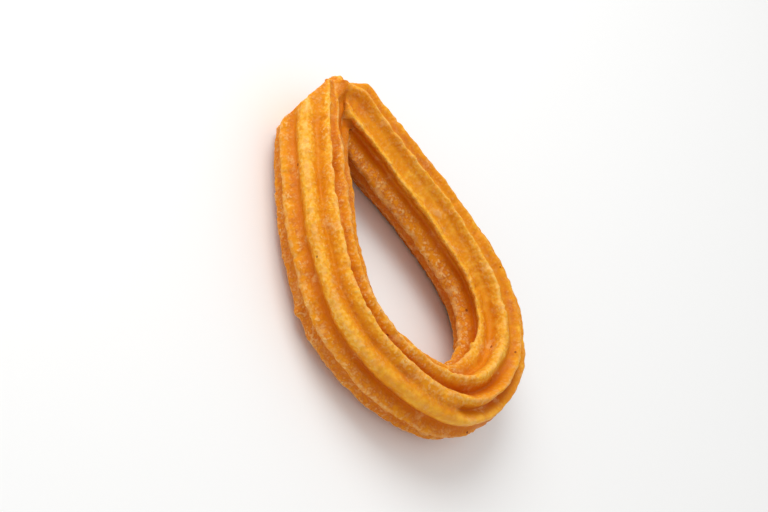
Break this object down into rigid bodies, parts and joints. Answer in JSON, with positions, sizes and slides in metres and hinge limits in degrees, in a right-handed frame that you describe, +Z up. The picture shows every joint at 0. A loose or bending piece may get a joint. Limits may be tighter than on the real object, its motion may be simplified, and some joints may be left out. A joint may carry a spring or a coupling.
{
  "type": "churro",
  "caption": "Fried loop churro: a ridged rope of dough bent into a teardrop and pinched shut at its narrow end.",
  "frame": {"origin": "middle of the footprint, on the surface that the churro lies on", "axes": "+Z up, +Y along the loop from the round bend to the pinched end, +X to the right when seen from above"},
  "size_m": [0.0722, 0.099, 0.0193],
  "materials": {
    "fried_dough": "golden fried crust, lighter and grainy on the ridges, darker and slightly oily in the grooves"
  },
  "bodies": {
    "root": {"churro": "fried_dough"}
  },
  "joints": []
}
